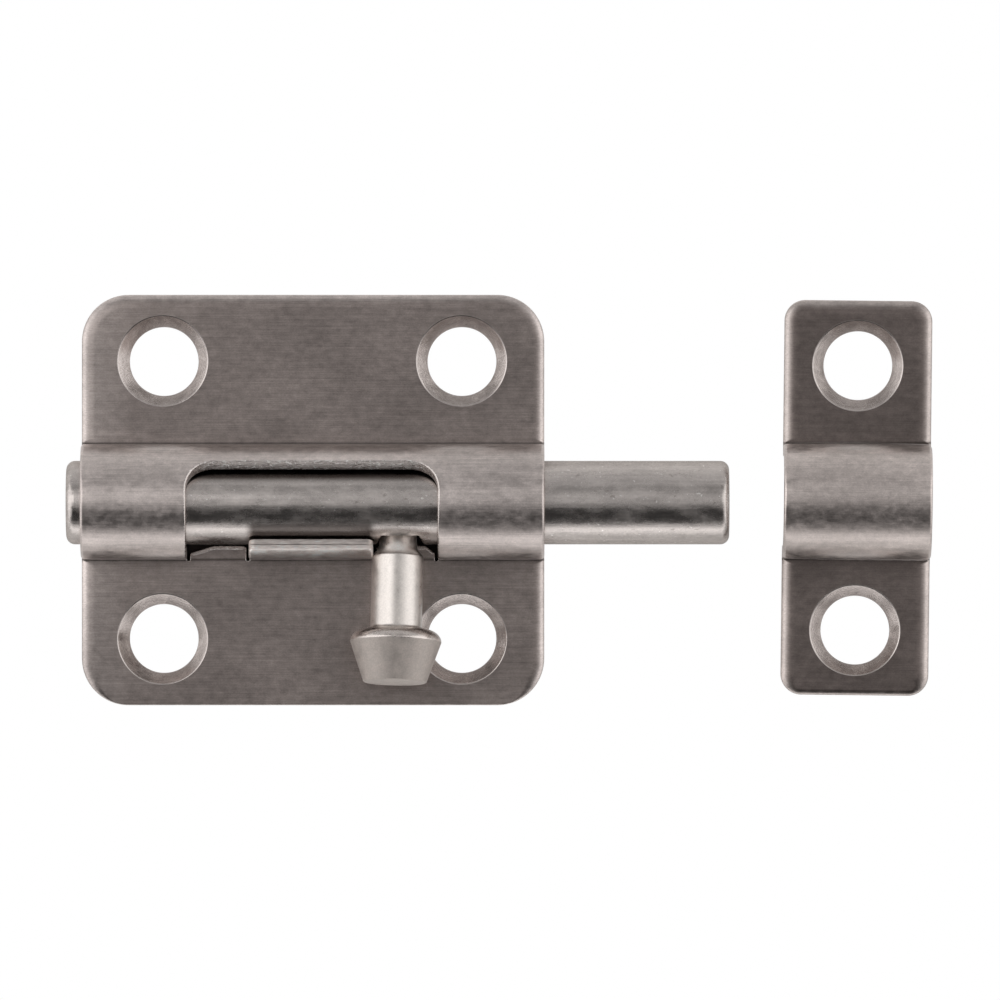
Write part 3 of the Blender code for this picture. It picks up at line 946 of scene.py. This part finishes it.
keeper_outlines = [
    (
        plate_loop(keeper_arch, keeper_low, keeper_high, KEEPER_CORNER),
        rolled_profile(keeper_arch, KEEPER_FLAT_ROLL, ARCH_ROLL, KEEPER_NEAR_ROLL),
        BASE_FINISH,
    )
]
for hole_y in (keeper_middle_y - KEEPER_HOLES_ACROSS, keeper_middle_y + KEEPER_HOLES_ACROSS):
    hole = circle_loop(keeper_arch, keeper_middle_x, hole_y)
    keeper_outlines.append((hole, countersunk_profile(-0.03 * MM, 0.0), CONE_FINISH))
fine_keeper = pressed("fine_keeper", keeper_arch, keeper_outlines, x_lines=keeper_lines, bow=drawn_in)
corner = Vector((keeper_high[0], keeper_high[1], 0))
laid_down = Matrix.Translation(corner - Vector((0, LAID_DOWN_BY, 0)))
fine_keeper.matrix_world = laid_down @ Matrix.Rotation(-ASKEW, 4, "Z") @ Matrix.Translation(-corner)
stand_in(fine_keeper, "keeper", "keeper", (keeper_finish, shear_finish, cone_finish))
print(f"it is {keeper_width / MM:.1f} mm wide, and its arch {keeper_arch.inner / MM:.1f} mm in radius inside")

# %% [markdown]
# ## Turned pieces
#
# The rod and the knob are turned: a profile goes once round an axis. Their profile is walked from one end to
# the other as (height, radius) points, and the way that each ring faces comes from the profile, weighted by
# length, so that a long straight side stays truly straight beside a small rounding.

# %% Turning
TURNED_SIDES = 160


def arc(height, radius, size_height, size_radius, start, end, steps=12):
    """Points of a curve of the profile, between two angles in degrees."""
    points = []
    for step in range(steps + 1):
        angle = math.radians(start + (end - start) * step / steps)
        points.append((height + size_height * math.sin(angle), radius + size_radius * math.cos(angle)))
    return points


def turned(name, profile, place, turn, finish_heights=()):
    """A closed turned piece whose axis is +Z before it is turned. A new finish starts at each height."""
    clean = [profile[0]]
    for point in profile[1:]:
        if math.dist(point, clean[-1]) > SAME_POINT:
            clean.append(point)
    swapped = [(-radius, height) for height, radius in clean]
    angles = leans(swapped, -math.pi / 2, math.pi / 2)
    bm = bmesh.new()
    rings, facing = [], []
    for (height, radius), lean in zip(clean, angles):
        ring = []
        sides = 1 if radius < SAME_POINT else TURNED_SIDES
        for side in range(sides):
            angle = math.tau * side / TURNED_SIDES
            x, y = math.cos(angle), math.sin(angle)
            ring.append(bm.verts.new(place + turn @ Vector((radius * x, radius * y, height))))
            flat = 0.0 if sides == 1 else math.cos(lean)
            facing.append(turn @ Vector((flat * x, flat * y, math.sin(lean))).normalized())
        rings.append(ring)
    for low, high, start in zip(rings, rings[1:], clean):
        for side in range(TURNED_SIDES):
            after = (side + 1) % TURNED_SIDES
            corners = [low[side % len(low)], low[after % len(low)]]
            corners += [high[after % len(high)], high[side % len(high)]]
            wall = bm.faces.new(list(dict.fromkeys(corners)))
            wall.material_index = sum(start[0] > height for height in finish_heights)
    return finished(name, bm, facing)


print(f"a turned piece has {TURNED_SIDES} sides")

# %% [markdown]
# ## Drawn bar
#
# The rod is cut from drawn bar. It has long soft draw lines, an even grain from tumbling, a few pits that
# hold dirt, small bright nicks, and dull patches where it rubs in the tunnel. Painted shadow darkens it
# where the window's far edge and the tab almost touch it.

# %% Drawn bar
# Painted shadow on the rod: a near-black colour where the window's far edge and the tab shade it.
ROD_PAINTED_SHADE = (0.045, 0.034, 0.030, 1)
PIT_DIRT = (0.30, 0.265, 0.245, 1)
BRIGHT_NICK = (0.90, 0.86, 0.83, 1)
# Each painted shadow: its left and right ends along X, its low and high edges across, and how dark it is.
ROD_PAINTED_SHADOWS = (
    (window_left, window_right, 1.9 * MM, 3.6 * MM, 0.93),
    (tab_left, tab_right, -4.2 * MM, -2.1 * MM, 0.84),
)


def with_rod_shadows(tree, colour):
    place = add_node(tree, "ShaderNodeTexCoord").outputs["Object"]
    along = add_node(tree, "ShaderNodeSeparateXYZ", {"Vector": place})
    for left, right, low, high, amount in ROD_PAINTED_SHADOWS:
        over = between(tree, along.outputs["X"], left, right, 0.5 * MM)
        line = between(tree, along.outputs["Y"], low, high, 0.45 * MM)
        share = maths(tree, "MULTIPLY", maths(tree, "MULTIPLY", over, line), amount)
        colour = mixed(tree, share, colour, ROD_PAINTED_SHADE)
    return colour


def drawn_bar(name, colour, roughness):
    made, tree, shader = metal(name, WORN_SHEEN)
    draw_lines = noise(tree, (70, 2400, 2400), 3.0, 0.6)
    fine_lines = noise(tree, (260, 9000, 9000), 3.0, 0.65)
    grain = noise(tree, (4200, 4200, 4200), 3.0, 0.65)
    patches_of_wear = noise(tree, (420, 900, 900), 4.0, 0.62)
    pits = ranged(tree, noise(tree, (1300, 1900, 1900), 2.0, 0.5), 0.68, 0.74, 0.0, 0.6)
    nicks = ranged(tree, noise(tree, (2300, 2900, 2900), 3.0, 0.6), 0.66, 0.70, 0.0, 0.8)
    tinted = varied(tree, (*colour, 1), draw_lines, 0.13)
    tinted = varied(tree, tinted, patches_of_wear, 0.16)
    tinted = varied(tree, tinted, grain, 0.10)
    pitted = mixed(tree, pits, tinted, PIT_DIRT)
    nicked = mixed(tree, nicks, pitted, BRIGHT_NICK)
    tree.links.new(with_rod_shadows(tree, nicked), shader.inputs["Base Color"])
    gloss = ranged(tree, patches_of_wear, 0.3, 0.7, roughness - 0.06, roughness + 0.12)
    tree.links.new(gloss, shader.inputs["Roughness"])
    surface = bumped(tree, draw_lines, 0.008 * MM)
    surface = bumped(tree, fine_lines, 0.002 * MM, surface)
    surface = bumped(tree, grain, 0.006 * MM, surface)
    tree.links.new(bumped(tree, patches_of_wear, 0.018 * MM, surface), shader.inputs["Normal"])
    return made


rod_finish = drawn_bar("drawn_bar_finish", (0.56, 0.512, 0.488), 0.24)
print("bar finish made")

# %% [markdown]
# ## The rod
#
# Plain bar with both ends rounded over. The marks of drawing are in its finish. The rod has a little play in
# its tunnel and lies nearer the knob's side, so it sits a hair off the middle. Where the knob goes in, its
# side is faced flat, so the bar has rings of points there that are pushed back to the face.

# %% Rod
ROD_END = 0.85 * MM
SAG = TUNNEL_OFFSET - 0.10 * MM
SEAT_DEPTH = 0.85 * MM
SEAT_HALF = 1.8 * MM
SEAT_STEPS = 24

rod_length = rod_high[0] - rod_low[0]
rod_profile = [(0.0, 0.0)]
rod_profile += arc(ROD_END, ROD_RADIUS - ROD_END, ROD_END, ROD_END, -90, 0)
seat_middle = KNOB_X - rod_low[0]
for step in range(SEAT_STEPS + 1):
    rod_profile.append((seat_middle + SEAT_HALF * 1.3 * (2 * step / SEAT_STEPS - 1), ROD_RADIUS))
rod_profile += arc(rod_length - ROD_END, ROD_RADIUS - ROD_END, ROD_END, ROD_END, 0, 90)
rod_profile.append((rod_length, 0.0))
along_x = Vector((1, 0, 0)).to_track_quat("Z", "Y")
fine_rod = turned("fine_rod", rod_profile, Vector((rod_low[0], SAG, AXIS_Z)), along_x)
faces_out = [Vector(corner.vector) for corner in fine_rod.data.vertex_normals]
for vert in fine_rod.data.vertices:
    beside = (abs(vert.co.x - KNOB_X) - SEAT_HALF) / (0.25 * SEAT_HALF)
    face = SAG - ROD_RADIUS + SEAT_DEPTH * min(max(1 - beside, 0.0), 1.0)
    if beside < 1 and vert.co.y < face:
        vert.co.y = face
        faces_out[vert.index] = Vector((0, -1, 0))
fine_rod.data.normals_split_custom_set_from_vertices(faces_out)
stand_in(fine_rod, "bolt_rod", "rod", (rod_finish,))
print(f"the rod is {rod_length / MM:.1f} mm long")

# %% [markdown]
# ## The knob
#
# A threaded neck goes into the rod, a short cone widens it to the stem, and a fillet leads into a head that
# tapers towards its flat tip. The knob rests with the rim of its head just off the plate, so it leans up a
# little. The lean is worked out from that. It also leans sideways a degree or so, as a knob does that was
# screwed in by hand. Each of its four zones has its own finish, which starts at a height along the axis.

# %% Knob
NECK_FOOT = ROD_RADIUS - 1.2 * MM
NECK_RADIUS = 1.72 * MM
CONE_START = ROD_RADIUS + 0.50 * MM
CONE_END = ROD_RADIUS + 1.05 * MM
STEM_START = ROD_RADIUS + 1.25 * MM
STEM_EDGE = 0.2 * MM
STEM_RADIUS = 2.47 * MM
RIM_RADIUS = (knob_high[0] - knob_low[0]) / 2 + 0.08 * MM
RIM_HEIGHT = ROD_RADIUS + 9.4 * MM
REST_GAP = 0.13 * MM
HEAD_HEIGHT = ROD_RADIUS + 8.2 * MM
KNOB_END = ROD_RADIUS + 13.35 * MM
HEAD_FILLET = 0.3 * MM
TIP_RADIUS = 3.1 * MM
TIP_ROUNDING = 0.3 * MM
LEAN = math.radians(1.3)
LEAN_SHIFT = -0.12 * MM

shoulder = STEM_RADIUS + HEAD_FILLET
knob_profile = [(NECK_FOOT, 0.0), (NECK_FOOT, NECK_RADIUS)]
knob_profile += [(CONE_START, NECK_RADIUS + 0.15 * MM), (CONE_END, STEM_RADIUS - 0.10 * MM)]
knob_profile += arc(STEM_START, STEM_RADIUS - STEM_EDGE, STEM_EDGE, STEM_EDGE, -40, 0)
knob_profile += arc(HEAD_HEIGHT - HEAD_FILLET, shoulder, HEAD_FILLET, HEAD_FILLET, 180, 90)
rim_rise = HEAD_HEIGHT - RIM_HEIGHT
knob_profile += arc(RIM_HEIGHT, shoulder, rim_rise, RIM_RADIUS - shoulder, 90, 0)
knob_profile += arc(KNOB_END - TIP_ROUNDING, TIP_RADIUS - TIP_ROUNDING, TIP_ROUNDING, TIP_ROUNDING, 10, 90)
knob_profile.append((KNOB_END, 0.0))

drop = AXIS_Z - SHEET - REST_GAP
lift = math.atan2(RIM_RADIUS, RIM_HEIGHT) - math.asin(drop / math.hypot(RIM_HEIGHT, RIM_RADIUS))
knob_way = Vector((-math.sin(LEAN), -math.cos(lift), math.sin(lift))).normalized()
knob_place = Vector((KNOB_X + LEAN_SHIFT, SAG, AXIS_Z))
knob_turn = knob_way.to_track_quat("Z", "Y")
finish_heights = (ROD_RADIUS + 0.9 * MM, HEAD_HEIGHT - 0.15 * MM, RIM_HEIGHT - 0.02 * MM)
fine_knob = turned("fine_knob", knob_profile, knob_place, knob_turn, finish_heights)
stand_in(fine_knob, "knob", "knob", (neck_painted_light, stem_finish, rim_finish, head_finish))
print(f"the knob leans up {math.degrees(lift):.1f} degrees")
